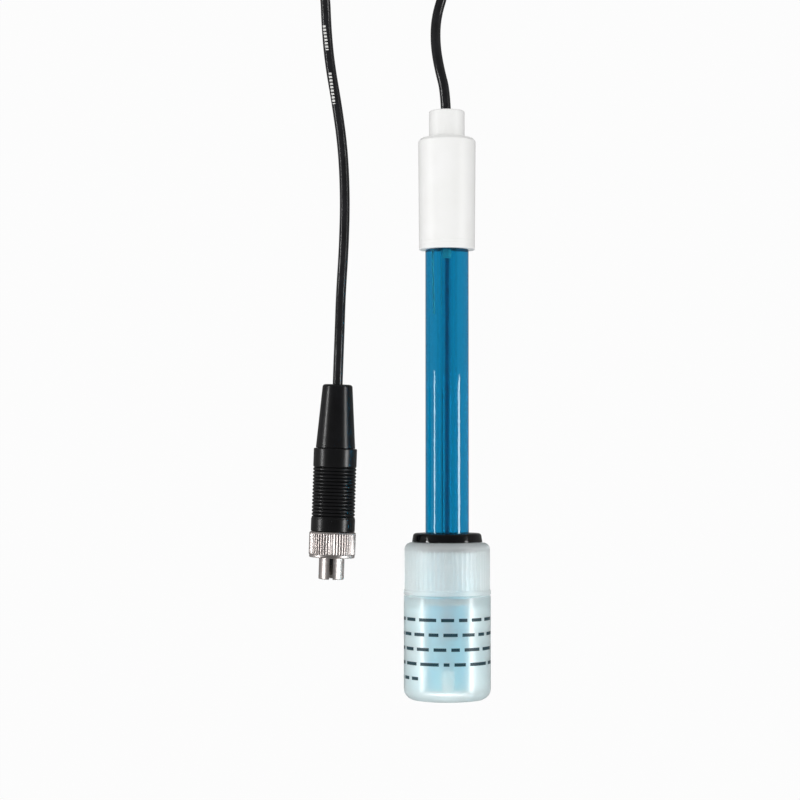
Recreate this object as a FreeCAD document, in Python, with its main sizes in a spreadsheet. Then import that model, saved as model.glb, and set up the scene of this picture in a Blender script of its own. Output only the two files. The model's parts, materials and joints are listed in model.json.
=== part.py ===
import FreeCAD, Part
import math
import os
import re

import Sketcher

# A redox electrode in its storage bottle, with its lead and plug, lying on a flat surface.
# Millimetres. Each turned piece is drawn about its own Z axis: on the electrode that axis runs from
# the bottle's base, at zero, to the cable neck, and on the plug from the ferrule's tip, at zero, to
# the boot's end. Placements then lay the electrode and the plug down on the surface, z = 0.

os.makedirs("parts", exist_ok=True)
doc = FreeCAD.newDocument("redox_electrode")

# Driving sizes
SIZES = {
    # fits between pieces
    "running_gap": 0.05,
    "glue_gap": 0.03,
    # shaft tube, open at the tip as a guard with slots
    "tube_radius": 6.0,
    "tube_wall": 1.2,
    "tube_length": 131.7,
    "tip_height": 2.75,
    "tip_edge": 0.4,
    "guard_depth": 8.0,
    "guard_slot_width": 3.2,
    "guard_slot_height": 5.6,
    "guard_slot_count": 4,
    # sensing stem and reference half cell inside the tube
    "bush_length": 6.0,
    "junction_radius": 0.6,
    "junction_place": 3.3,
    "junction_stand": 0.4,
    "stem_radius": 2.0,
    "stem_wall": 0.7,
    "stem_setback": 2.8,
    "stem_end": 3.0,
    "stem_round": 1.1,
    "stem_lead_radius": 0.6,
    "stem_seal_depth": 12.5,
    "platinum_radius": 0.5,
    "platinum_stand": 1.6,
    "wire_radius": 0.25,
    "reference_top_place": 3.3,
    "reference_low_place": 2.7,
    "reference_length": 30.0,
    "potting_depth": 9.0,
    "potting_nose": 0.9,
    # head cap with its cable neck
    "socket_depth": 10.0,
    "head_length": 31.0,
    "head_radius": 8.0,
    "head_low_radius": 7.75,
    "head_chamfer": 0.8,
    "head_roof": 5.0,
    "head_cavity_radius": 5.0,
    "head_stop": 0.1,
    "neck_radius": 4.95,
    "neck_length": 7.7,
    "neck_edge": 0.4,
    "neck_flare": 0.5,
    "joint_height": 2.0,
    "lead_radius": 0.55,
    "lead_spread": 0.65,
    # storage bottle
    "bottle_stand": 0.2,
    "bottle_height": 28.75,
    "bottle_wall": 1.0,
    "bottle_corner": 3.0,
    "bottle_push_up": 0.8,
    "bottle_foot_gap": 1.0,
    "bottle_foot_width": 1.6,
    "bottle_shoulder": 0.4,
    "bottle_slope": 2.2,
    "bottle_neck_wall": 1.2,
    "bottle_neck_edge": 0.4,
    # ribbed screw cap
    "cap_gap": 0.2,
    "thread_gap": 0.55,
    "cap_radius": 11.8,
    "cap_height": 14.3,
    "cap_wall": 1.35,
    "cap_roof": 1.3,
    "cap_shoulder": 1.9,
    "cap_lip": 0.25,
    "cap_lip_height": 1.1,
    "cap_rib_count": 60,
    "cap_rib_depth": 0.35,
    "cap_rib_groove": 0.42,
    "cap_rib_margin": 0.35,
    # rubber seal, a grommet in the cap's roof
    "seal_step": 0.15,
    "seal_taper": 0.4,
    "seal_height": 2.5,
    "seal_edge": 0.6,
    "seal_flange_gap": 0.85,
    "seal_flange_width": 1.8,
    "seal_flange_height": 1.2,
    # plug: ferrule, coupling nut and contacts
    "ferrule_radius": 3.55,
    "ferrule_wall": 0.5,
    "ferrule_stand": 6.05,
    "ferrule_edge": 0.2,
    "ferrule_flange_radius": 4.4,
    "ferrule_flange_height": 1.2,
    "ferrule_root_radius": 4.6,
    "ferrule_root_length": 6.2,
    "key_width": 1.0,
    "key_length": 6.6,
    "nut_radius": 6.5,
    "nut_length": 7.3,
    "nut_bore_radius": 4.85,
    "nut_lip": 1.8,
    "nut_edge": 0.4,
    "knurl_count": 48,
    "knurl_depth": 0.3,
    "knurl_margin": 0.95,
    "insert_recess": 4.0,
    "insert_length": 10.0,
    "pin_radius": 0.4,
    "pin_circle": 1.55,
    "pin_count": 4,
    "pin_recess": 1.2,
    "pin_tail": 3.0,
    # plug: ribbed shell, clamp and boot
    "shell_band_radius": 6.15,
    "shell_radius": 6.05,
    "shell_length": 23.1,
    "shell_band_length": 3.5,
    "shell_cavity_radius": 4.2,
    "shell_rear_wall": 3.0,
    "shell_rear_bore": 3.2,
    "shell_edge": 0.3,
    "rib_count": 15,
    "rib_pitch": 0.965,
    "rib_groove_width": 0.46,
    "rib_groove_depth": 0.42,
    "clamp_radius": 2.6,
    "clamp_length": 5.5,
    "boot_length": 17.85,
    "boot_low_radius": 5.5,
    "boot_top_radius": 4.15,
    "boot_edge": 0.7,
    "boot_flare": 0.5,
    "boot_spigot_flange": 3.9,
    "boot_spigot_height": 1.0,
    # where the plug lies beside the electrode, and how far it is turned
    "plug_tip_x": -32.3,
    "plug_tip_y": -48.9,
    "plug_turn": 1.9,
    # lead
    "cord_radius": 1.4,
    "coil_centre_x": -16.3,
    "coil_centre_y": 138.6,
    "coil_outer": 21.7,
    "coil_inner": 11.9,
    "coil_layers": 2,
    "tie_width": 4.0,
    "tie_thickness": 0.5,
    "tie_gap": 0.3,
}

sheet = doc.addObject("Spreadsheet::Sheet", "sizes")
for row, (alias, value) in enumerate(SIZES.items(), start=1):
    sheet.set(f"A{row}", alias)
    sheet.set(f"B{row}", str(value))
    sheet.setAlias(f"B{row}", alias)
doc.recompute()


def size(alias):
    """The value of one cell of the sheet."""
    return float(sheet.get(alias))


def sized(formula):
    """The formula with each name in it bound to the sheet's cell of that name."""
    return re.sub(r"[a-z][a-z_]*", r"sizes.\g<0>", formula)


# Stations along the electrode's axis, as formulas on the sheet's cells
TIP = "tip_height"
TUBE_TOP = "tip_height + tube_length"
BUSH_BASE = "tip_height + guard_depth"
STEM_TIP = "tip_height + stem_setback"
HEAD_BASE = f"{TUBE_TOP} - socket_depth"
HEAD_TOP = f"{HEAD_BASE} + head_length"
NECK_TOP = f"{HEAD_TOP} + neck_length"
POTTING_BASE = f"{TUBE_TOP} - potting_depth"
CAP_BASE = "bottle_height + cap_gap"
CAP_TOP = f"{CAP_BASE} + cap_height"
SEAL_BASE = f"{CAP_TOP} - cap_roof - running_gap - seal_flange_height"

# Radii of the bottle and the seal, which follow the cap's
BOTTLE_RADIUS = "cap_radius + bottle_stand"
BOTTLE_NECK = "cap_radius - cap_wall - thread_gap"
SEAL_FLANGE = "cap_radius - cap_wall - seal_flange_gap"
SEAL_WAIST = f"{SEAL_FLANGE} - seal_flange_width"
SEAL_RADIUS = "cap_radius - cap_shoulder - seal_step"

# Stations along the plug's axis
NUT_TOP = "ferrule_stand + nut_length"
FLANGE_TOP = f"{NUT_TOP} - nut_lip - running_gap"
SHELL_BASE = f"{NUT_TOP} + running_gap"
SHELL_TOP = f"{SHELL_BASE} + shell_length"
BOOT_TOP = f"{SHELL_TOP} + boot_length"
CORD_END_IN_PLUG = f"{SHELL_TOP} - shell_rear_wall - boot_spigot_height - clamp_length - lead_radius"


# Drawing helpers
def origin_part(body, role):
    """The plane or axis of the body's own origin that has this role."""
    return next(part for part in body.Origin.OriginFeatures if part.Role == role)


def sketch_on(body, name, role, offset=None):
    """An empty sketch on one of the body's origin planes, raised by the offset formula."""
    sketch = body.newObject("Sketcher::SketchObject", name)
    sketch.AttachmentSupport = [(origin_part(body, role), "")]
    sketch.MapMode = "FlatFace"
    if offset:
        sketch.setExpression("AttachmentOffset.Base.z", sized(offset))
    return sketch


def bind(sketch, constraint, formula):
    """Add a constraint whose value follows the formula."""
    number = sketch.addConstraint(constraint)
    sketch.setExpression(f"Constraints[{number}]", sized(formula))


def fix_point(sketch, item, end, across, along):
    """Hold one point of a sketch item at a place given by two formulas."""
    point = sketch.getPoint(item, end)
    for kind, formula, start, axis in (("DistanceX", across, point.x, -2), ("DistanceY", along, point.y, -1)):
        if formula == "0":
            sketch.addConstraint(Sketcher.Constraint("PointOnObject", item, end, axis))
        else:
            bind(sketch, Sketcher.Constraint(kind, item, end, start), formula)


def outline(sketch, corners):
    """Draw a closed run of straight lines through the corners, pairs of formulas."""
    first = sketch.GeometryCount
    count = len(corners)
    rough = []
    for number, (across, along) in enumerate(corners):
        angle = 2 * math.pi * number / count
        x = 0 if across == "0" else 20 + 10 * math.cos(angle)
        y = 0 if along == "0" else 20 + 10 * math.sin(angle)
        rough.append(FreeCAD.Vector(x, y, 0))
    for here, there in zip(rough, rough[1:] + rough[:1]):
        sketch.addGeometry(Part.LineSegment(here, there), False)
    for number, (across, along) in enumerate(corners):
        line, following = first + number, first + (number + 1) % count
        sketch.addConstraint(Sketcher.Constraint("Coincident", line, 2, following, 1))
        fix_point(sketch, line, 1, across, along)


def circle(sketch, across, along, radius):
    """Draw a circle whose centre and radius follow formulas."""
    centre = FreeCAD.Vector(0 if across == "0" else 5, 0 if along == "0" else 5, 0)
    item = sketch.addGeometry(Part.Circle(centre, FreeCAD.Vector(0, 0, 1), 1.0), False)
    fix_point(sketch, item, 3, across, along)
    bind(sketch, Sketcher.Constraint("Radius", item, 1.0), radius)


def turned(label, corners):
    """A body turned about its Z axis from an outline of (radius, height) formulas."""
    body = doc.addObject("PartDesign::Body", label)
    profile = sketch_on(body, f"{label}_profile", "XZ_Plane")
    outline(profile, corners)
    turn = body.newObject("PartDesign::Revolution", f"{label}_turn")
    turn.Profile = profile
    turn.ReferenceAxis = (profile, ["V_Axis"])
    turn.Angle = 360
    doc.recompute()
    return body


def dress(body, kind, corners, amount):
    """Round (Fillet) or bevel (Chamfer) the rings that the numbered corners of the profile make."""
    profile = next(item for item in body.Group if item.Name == f"{body.Name}_profile")
    spots = [profile.Geometry[number].StartPoint for number in corners]
    rings = []
    for number, edge in enumerate(body.Tip.Shape.Edges, start=1):
        if isinstance(edge.Curve, Part.Circle):
            at = (edge.Curve.Radius, edge.Curve.Center.z)
            if any(math.dist(at, (spot.x, spot.y)) < 1e-4 for spot in spots):
                rings.append(f"Edge{number}")
    if len(rings) != len(spots):
        raise RuntimeError(f"{body.Label}: {len(rings)} rings found for {len(spots)} corners")
    base = body.Tip
    feature = body.newObject(f"PartDesign::{kind}", f"{body.Name}_{kind.lower()}_{len(body.Group)}")
    feature.Base = (base, rings)
    feature.setExpression("Radius" if kind == "Fillet" else "Size", sized(amount))
    body.Tip = feature
    doc.recompute()


def cut(body, kind, sketch, **settings):
    """Cut the sketch out of the body (Pocket or Groove) and make sure that it took something away."""
    before = body.Shape.Volume
    feature = body.newObject(f"PartDesign::{kind}", f"{sketch.Name}_cut")
    feature.Profile = sketch
    for name, value in settings.items():
        if isinstance(value, str) and name == "Length":
            feature.setExpression(name, sized(value))
        else:
            setattr(feature, name, value)
    doc.recompute()
    if body.Shape.Volume > before - 1e-6:
        raise RuntimeError(f"{sketch.Name} cuts nothing")
    return feature


def repeated_round(body, feature, count):
    """Repeat a feature all round the body's Z axis."""
    pattern = body.newObject("PartDesign::PolarPattern", f"{feature.Name}_round")
    pattern.Originals = [feature]
    pattern.Axis = (origin_part(body, "Z_Axis"), [""])
    pattern.Angle = 360
    pattern.setExpression("Occurrences", sized(count))
    body.Tip = pattern
    doc.recompute()


def rod(label, radius, start, end):
    """A straight wire between two points in the electrode's or the plug's own frame."""
    wire = doc.addObject("Part::Feature", label)
    run = end - start
    wire.Shape = Part.makeCylinder(radius, run.Length, start, run)
    return wire


def value_of(formula):
    """The value of a station's or a radius's formula, a sum and difference of the sheet's cells."""
    total, sign = 0.0, 1
    for word in formula.split():
        if word in "+-":
            sign = 1 if word == "+" else -1
        else:
            total += sign * size(word)
    return total


def on_axis(across, height):
    """A point in the electrode's or the plug's own frame."""
    return FreeCAD.Vector(across, 0, height)


# Shaft tube with the slotted guard at its open tip
def make_body_tube():
    bore = "tube_radius - tube_wall"
    body = turned("body_tube", [(bore, TIP), ("tube_radius", TIP), ("tube_radius", TUBE_TOP), (bore, TUBE_TOP)])
    dress(body, "Fillet", [0, 1], "tip_edge")
    slot = sketch_on(body, "guard_slot", "XZ_Plane")
    half = "guard_slot_width / 2"
    outline(slot, [(f"-{half}", f"{TIP} - 1"), (half, f"{TIP} - 1"), (half, f"{TIP} + guard_slot_height"),
                   (f"-{half}", f"{TIP} + guard_slot_height")])
    doc.recompute()
    feature = cut(body, "Pocket", slot, Length="tube_radius + 1")
    repeated_round(body, feature, "guard_slot_count")
    return body


# Bush that closes the tube above the guard and carries the stem and the junction
def make_end_bush():
    top = f"{BUSH_BASE} + bush_length"
    outer, bore = "tube_radius - tube_wall - glue_gap", "stem_radius + glue_gap"
    body = turned("end_bush", [(bore, BUSH_BASE), (outer, BUSH_BASE), (outer, top), (bore, top)])
    hole = sketch_on(body, "junction_hole", "XY_Plane", BUSH_BASE)
    circle(hole, "junction_place", "0", "junction_radius + glue_gap")
    cut(body, "Pocket", hole, Length="bush_length", Reversed=True)
    return body


# Porous ceramic pin that lets the reference electrolyte meet the sample
def make_reference_junction():
    pin = doc.addObject("Part::Cylinder", "reference_junction")
    pin.setExpression("Radius", sized("junction_radius"))
    pin.setExpression("Height", sized("bush_length + 2 * junction_stand"))
    start = FreeCAD.Vector(size("junction_place"), 0, value_of(BUSH_BASE) - size("junction_stand"))
    pin.Placement = FreeCAD.Placement(start, FreeCAD.Rotation())
    return pin


# Glass stem, sealed round the platinum at its lower end
def make_glass_stem():
    end, top = f"{STEM_TIP} + stem_end", f"{TUBE_TOP} - head_stop"
    hole, bore = "platinum_radius + glue_gap", "stem_radius - stem_wall"
    body = turned("glass_stem", [(hole, STEM_TIP), ("stem_radius", STEM_TIP), ("stem_radius", top),
                                 (bore, top), (bore, end), (hole, end)])
    dress(body, "Fillet", [1], "stem_round")
    return body


# Platinum pin, the sensing surface
def make_platinum_pin():
    start, end = f"{STEM_TIP} - platinum_stand", f"{STEM_TIP} + stem_end"
    body = turned("platinum_pin", [("0", start), ("platinum_radius", start), ("platinum_radius", end), ("0", end)])
    dress(body, "Fillet", [1], "platinum_radius * 0.6")
    return body


# Resin plug that seals the tube's top round the stem
def make_potting():
    outer, bore = "tube_radius - tube_wall - glue_gap", "stem_radius + glue_gap"
    nose = f"{POTTING_BASE} - potting_nose"
    return turned("potting", [(bore, nose), (f"{bore} + potting_nose", nose), (outer, POTTING_BASE),
                              (outer, TUBE_TOP), (bore, TUBE_TOP)])


# Drop of resin that seals the glass stem's top round its lead, rounded at its lower end
def make_stem_seal():
    outer, bore = "stem_radius - stem_wall - glue_gap", "stem_lead_radius + glue_gap"
    low, high = f"{TUBE_TOP} - stem_seal_depth", f"{TUBE_TOP} - head_stop"
    body = turned("stem_seal", [(bore, low), (outer, low), (outer, high), (bore, high)])
    dress(body, "Fillet", [1], "stem_lead_radius * 0.8")
    return body


# White head cap: socket for the tube, cavity for the joints of the leads, neck for the cable
def make_head_cap():
    socket, bore = "tube_radius + glue_gap", "cord_radius + glue_gap"
    stop, roof = f"{TUBE_TOP} + head_stop", f"{HEAD_TOP} - head_roof"
    body = turned("head_cap", [
        (socket, HEAD_BASE), ("head_low_radius", HEAD_BASE), ("head_radius", f"{HEAD_TOP} - head_chamfer"),
        ("head_radius - head_chamfer", HEAD_TOP), ("neck_radius", HEAD_TOP), ("neck_radius", NECK_TOP),
        (f"{bore} + neck_flare", NECK_TOP), (bore, f"{NECK_TOP} - neck_flare"), (bore, roof),
        ("head_cavity_radius", roof), ("head_cavity_radius", stop), (socket, stop)])
    dress(body, "Fillet", [5], "neck_edge")
    return body


# Storage bottle with a pushed-up base and a plain neck
def make_storage_bottle():
    inner, mouth = f"{BOTTLE_RADIUS} - bottle_wall", f"{BOTTLE_NECK} - bottle_neck_wall"
    ring = f"{BOTTLE_RADIUS} - bottle_corner - bottle_foot_gap"
    floor, rim = "bottle_push_up + bottle_wall", f"{SEAL_BASE} - running_gap"
    body = turned("storage_bottle", [
        ("0", "bottle_push_up"), (f"{ring} - bottle_foot_width", "bottle_push_up"), (ring, "0"), (BOTTLE_RADIUS, "0"),
        (BOTTLE_RADIUS, "bottle_height"), (BOTTLE_NECK, "bottle_height"),
        (BOTTLE_NECK, rim), (mouth, rim), (mouth, "bottle_height - bottle_wall / 2"),
        (inner, "bottle_height - bottle_wall / 2 - bottle_slope"), (inner, floor), ("0", floor)])
    dress(body, "Fillet", [3], "bottle_corner")
    dress(body, "Fillet", [10], "bottle_corner - bottle_wall")
    dress(body, "Chamfer", [4], "bottle_shoulder")
    dress(body, "Fillet", [6, 7], "bottle_neck_edge")
    return body


# Screw cap with fine grip ribs all round
def make_bottle_cap():
    inner, hole, roof = "cap_radius - cap_wall", f"{SEAL_WAIST} + running_gap", f"{CAP_TOP} - cap_roof"
    lip = f"{CAP_BASE} + cap_lip_height"
    body = turned("bottle_cap", [
        (inner, CAP_BASE), ("cap_radius + cap_lip", CAP_BASE), ("cap_radius + cap_lip", lip), ("cap_radius", lip),
        ("cap_radius", CAP_TOP), (hole, CAP_TOP), (hole, roof), (inner, roof)])
    dress(body, "Fillet", [4], "cap_shoulder")
    dress(body, "Fillet", [1, 2], "cap_lip * 0.8")
    groove = sketch_on(body, "cap_rib_groove", "XY_Plane", f"{lip} + cap_rib_margin")
    circle(groove, "cap_radius + cap_rib_groove - cap_rib_depth", "0", "cap_rib_groove")
    length = "cap_height - cap_lip_height - cap_shoulder - 2 * cap_rib_margin"
    feature = cut(body, "Pocket", groove, Length=length, Reversed=True)
    repeated_round(body, feature, "cap_rib_count")
    return body


# Rubber seal: its waist sits in the hole of the cap's roof, its bore grips the tube
def make_rubber_seal():
    bore, top = "tube_radius + running_gap", f"{CAP_TOP} + running_gap + seal_height"
    under, roof = f"{CAP_TOP} + running_gap", f"{CAP_TOP} - cap_roof - running_gap"
    body = turned("rubber_seal", [
        (bore, SEAL_BASE), (SEAL_FLANGE, SEAL_BASE), (SEAL_FLANGE, roof), (SEAL_WAIST, roof), (SEAL_WAIST, under),
        (SEAL_RADIUS, under), (f"{SEAL_RADIUS} - seal_taper", top), (bore, top)])
    dress(body, "Fillet", [6], "seal_edge")
    return body


# Plug ferrule: the shield tube that enters the socket, with a key slot and a flange for the nut
def make_ferrule():
    bore = "ferrule_radius - ferrule_wall"
    foot, end = f"{FLANGE_TOP} - ferrule_flange_height", f"{SHELL_BASE} + ferrule_root_length"
    body = turned("ferrule", [
        (bore, "0"), ("ferrule_radius", "0"), ("ferrule_radius", foot), ("ferrule_flange_radius", foot),
        ("ferrule_flange_radius", FLANGE_TOP), ("ferrule_radius", FLANGE_TOP), ("ferrule_radius", SHELL_BASE),
        ("ferrule_root_radius", SHELL_BASE), ("ferrule_root_radius", end), (bore, end)])
    dress(body, "Fillet", [0, 1], "ferrule_edge")
    key = sketch_on(body, "ferrule_key", "XZ_Plane")
    half = "key_width / 2"
    outline(key, [(f"-{half}", "-1"), (half, "-1"), (half, "key_length"), (f"-{half}", "key_length")])
    doc.recompute()
    cut(body, "Pocket", key, Length="ferrule_radius + 1", Reversed=True)
    return body


# Knurled coupling nut, free to turn on the ferrule between its flange and the shell
def make_coupling_nut():
    hole, lip = "ferrule_radius + running_gap", f"{NUT_TOP} - nut_lip"
    body = turned("coupling_nut", [
        ("nut_bore_radius", "ferrule_stand"), ("nut_radius", "ferrule_stand"), ("nut_radius", NUT_TOP),
        (hole, NUT_TOP), (hole, lip), ("nut_bore_radius", lip)])
    dress(body, "Chamfer", [0, 1, 2], "nut_edge")
    tooth = sketch_on(body, "knurl_tooth", "XY_Plane", "ferrule_stand + knurl_margin")
    outline(tooth, [("nut_radius - knurl_depth", "0"), ("nut_radius + knurl_depth", "-2 * knurl_depth"),
                    ("nut_radius + knurl_depth", "2 * knurl_depth")])
    doc.recompute()
    feature = cut(body, "Pocket", tooth, Length="nut_length - knurl_margin - nut_edge", Reversed=True)
    repeated_round(body, feature, "knurl_count")
    return body


# Insulator that carries the contact pins inside the ferrule
def make_contact_insert():
    outer = "ferrule_radius - ferrule_wall - glue_gap"
    top = "insert_recess + insert_length"
    body = turned("contact_insert", [("0", "insert_recess"), (outer, "insert_recess"), (outer, top), ("0", top)])
    hole = sketch_on(body, "pin_hole", "XY_Plane", "insert_recess")
    circle(hole, "pin_circle", "0", "pin_radius + glue_gap")
    feature = cut(body, "Pocket", hole, Length="insert_length", Reversed=True)
    repeated_round(body, feature, "pin_count")
    return body


# Contact pins, one group of separate pins with bevelled noses
def make_contact_pins():
    length = value_of("insert_recess + insert_length + pin_tail") - size("pin_recess")
    pins = []
    for number in range(int(size("pin_count"))):
        angle = 2 * math.pi * number / int(size("pin_count"))
        place = FreeCAD.Vector(size("pin_circle") * math.cos(angle), size("pin_circle") * math.sin(angle),
                               size("pin_recess"))
        pin = Part.makeCylinder(size("pin_radius"), length, place)
        nose = [edge for edge in pin.Edges if isinstance(edge.Curve, Part.Circle)
                and edge.Curve.Center.z < place.z + length / 2]
        pins.append(pin.makeChamfer(size("pin_radius") * 0.4, nose))
    group = doc.addObject("Part::Feature", "contact_pins")
    group.Shape = Part.makeCompound(pins)
    return group


# Leads soldered to two of the pins, a group that runs back to the end of the cable
def make_plug_leads():
    start = value_of("insert_recess + insert_length + pin_tail") + size("pin_radius") / 4
    end = value_of(CORD_END_IN_PLUG) - size("pin_radius") / 4
    leads = []
    for side in (-1, 1):
        here = on_axis(side * size("pin_circle"), start)
        run = on_axis(side * size("lead_spread"), end) - here
        leads.append(Part.makeCylinder(size("pin_radius"), run.Length, here, run))
    group = doc.addObject("Part::Feature", "plug_leads")
    group.Shape = Part.makeCompound(leads)
    return group


# Moulded plug shell with rows of grip rings
def make_plug_shell():
    socket = "ferrule_root_radius + glue_gap"
    band, inner = f"{SHELL_BASE} + shell_band_length", f"{SHELL_BASE} + ferrule_root_length + glue_gap"
    rear = f"{SHELL_TOP} - shell_rear_wall"
    body = turned("plug_shell", [
        (socket, SHELL_BASE), ("shell_band_radius", SHELL_BASE), ("shell_band_radius", band), ("shell_radius", band),
        ("shell_radius", SHELL_TOP), ("shell_rear_bore", SHELL_TOP), ("shell_rear_bore", rear),
        ("shell_cavity_radius", rear), ("shell_cavity_radius", inner), (socket, inner)])
    dress(body, "Fillet", [4], "shell_edge")
    ring = sketch_on(body, "shell_ring", "XZ_Plane")
    low, high = f"{band} + rib_groove_width", f"{band} + 2 * rib_groove_width"
    deep, out = "shell_radius - rib_groove_depth", "shell_radius + rib_groove_depth"
    outline(ring, [(deep, low), (out, low), (out, high), (deep, high)])
    doc.recompute()
    feature = cut(body, "Groove", ring, ReferenceAxis=(ring, ["V_Axis"]), Angle=360)
    rows = body.newObject("PartDesign::LinearPattern", "shell_rings")
    rows.Originals = [feature]
    rows.Direction = (origin_part(body, "Z_Axis"), [""])
    rows.setExpression("Length", sized("rib_pitch * (rib_count - 1)"))
    rows.setExpression("Occurrences", sized("rib_count"))
    body.Tip = rows
    doc.recompute()
    return body


# Crimped clamp sleeve on the lead inside the shell
def make_cable_clamp():
    low, high = f"{SHELL_TOP} - shell_rear_wall - boot_spigot_height - running_gap - clamp_length", \
        f"{SHELL_TOP} - shell_rear_wall - boot_spigot_height - running_gap"
    bore = "cord_radius + glue_gap"
    return turned("cable_clamp", [(bore, low), ("clamp_radius", low), ("clamp_radius", high), (bore, high)])


# Tapered rubber boot, with a spigot that is trapped in the shell's rear wall
def make_strain_relief():
    bore, spigot = "cord_radius + glue_gap", "shell_rear_bore - glue_gap"
    seat, inside = f"{SHELL_TOP} + glue_gap", f"{SHELL_TOP} - shell_rear_wall - glue_gap"
    body = turned("strain_relief", [
        (bore, f"{inside} - boot_spigot_height"), ("boot_spigot_flange", f"{inside} - boot_spigot_height"),
        ("boot_spigot_flange", inside), (spigot, inside), (spigot, seat), ("boot_low_radius", seat),
        ("boot_top_radius", BOOT_TOP), (f"{bore} + boot_flare", BOOT_TOP), (bore, f"{BOOT_TOP} - boot_flare")])
    dress(body, "Fillet", [6], "boot_edge")
    return body


# How a stepped round body lies on the surface: it tips until its two highest steps touch
def lying(steps, end):
    """The slope and the axis height at zero for steps (height, radius) and the (height, radius) at the end."""
    slope = max((radius - end[1]) / (end[0] - height) for height, radius in steps)
    tip = math.atan(slope)
    return tip, end[1] * math.cos(tip) + end[0] * math.sin(tip)


def laid_down(base, tip, turn_deg):
    """A placement that turns +Z to point along +Y, nose down by tip, and turns it in the surface."""
    down = FreeCAD.Rotation(FreeCAD.Vector(1, 0, 0), -90 - math.degrees(tip))
    aside = FreeCAD.Rotation(FreeCAD.Vector(0, 0, 1), -turn_deg)
    return FreeCAD.Placement(base, aside.multiply(down))


cap_edge = (value_of(CAP_TOP) - size("cap_shoulder"), size("cap_radius"))
lip_edge = (value_of(CAP_BASE) + size("cap_lip_height"), size("cap_radius") + size("cap_lip"))
bottle_edge = (size("bottle_corner"), value_of(BOTTLE_RADIUS))
head_edge = (value_of(HEAD_TOP) - size("head_chamfer"), size("head_radius"))
electrode_tip, electrode_height = lying([cap_edge, lip_edge, bottle_edge], head_edge)
half_length = value_of(NECK_TOP) * math.cos(electrode_tip) / 2
ELECTRODE = laid_down(FreeCAD.Vector(0, -half_length, electrode_height), electrode_tip, 0)

nut_edge = (value_of(NUT_TOP) - size("nut_edge"), size("nut_radius"))
shell_edge = (value_of(SHELL_TOP) - size("shell_edge"), size("shell_radius"))
plug_tip, plug_height = lying([nut_edge], shell_edge)
plug_base = FreeCAD.Vector(size("plug_tip_x"), size("plug_tip_y"), plug_height)
PLUG = laid_down(plug_base, plug_tip, size("plug_turn"))


# Electrode and storage set
electrode_pieces = [
    make_body_tube(), make_end_bush(), make_reference_junction(), make_glass_stem(), make_platinum_pin(),
    make_potting(), make_stem_seal(), make_head_cap(), make_storage_bottle(), make_bottle_cap(), make_rubber_seal(),
]
joint, roof_height = value_of(f"{TUBE_TOP} + joint_height"), value_of(f"{HEAD_TOP} - head_roof")
cord_end = roof_height - 2 * size("lead_radius")
lead_start, lead_end = joint + size("lead_radius") / 4, cord_end - size("lead_radius") / 4
electrode_pieces += [
    rod("stem_lead", size("stem_lead_radius"), on_axis(0, value_of(f"{STEM_TIP} + stem_end")), on_axis(0, joint)),
    rod("reference_wire", size("wire_radius"), on_axis(-size("reference_top_place"), joint),
        on_axis(-size("reference_low_place"), joint - size("reference_length"))),
    rod("signal_lead", size("lead_radius"), on_axis(0, lead_start), on_axis(size("lead_spread"), lead_end)),
    rod("reference_lead", size("lead_radius"), on_axis(-size("reference_top_place"), lead_start),
        on_axis(-size("lead_spread"), lead_end)),
]

# Plug
plug_pieces = [
    make_ferrule(), make_coupling_nut(), make_contact_insert(), make_contact_pins(), make_plug_shell(),
    make_cable_clamp(), make_strain_relief(), make_plug_leads(),
]
for piece in electrode_pieces:
    piece.Placement = ELECTRODE.multiply(piece.Placement)
for piece in plug_pieces:
    piece.Placement = PLUG.multiply(piece.Placement)


# Lead: straight runs joined by tangent arcs, as points chosen by hand
def lead_run(label, points, radius):
    """A round lead along the points, with an arc at each that is as large as its runs allow."""
    edges, length, start = [], 0.0, points[0]
    for before, corner, after in zip(points, points[1:], points[2:]):
        back, on = (before - corner), (after - corner)
        half_turn = (math.pi - back.getAngle(on)) / 2
        reach = 0.45 * min(back.Length, on.Length)
        bend = reach / math.tan(half_turn)
        print(f"{label}: arc radius {bend:.1f} at ({corner.x:.1f}, {corner.y:.1f}, {corner.z:.1f})")
        back.normalize()
        on.normalize()
        middle = (back + on).normalize()
        first, last = corner + back * reach, corner + on * reach
        top = corner + middle * (bend / math.cos(half_turn) - bend)
        edges += [Part.LineSegment(start, first).toShape(), Part.Arc(first, top, last).toShape()]
        length += (first - start).Length + 2 * half_turn * bend
        start = last
    edges.append(Part.LineSegment(start, points[-1]).toShape())
    length += (points[-1] - start).Length
    path = Part.Wire(edges)
    section = Part.Wire(Part.makeCircle(radius, points[0], points[1] - points[0]))
    lead = doc.addObject("Part::Feature", label)
    lead.Shape = path.makePipeShell([section], True, False)
    whole = math.pi * radius**2 * length
    print(f"{label}: {length:.1f} long, volume {lead.Shape.Volume / whole:.4f} of section times length")
    return lead


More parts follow.
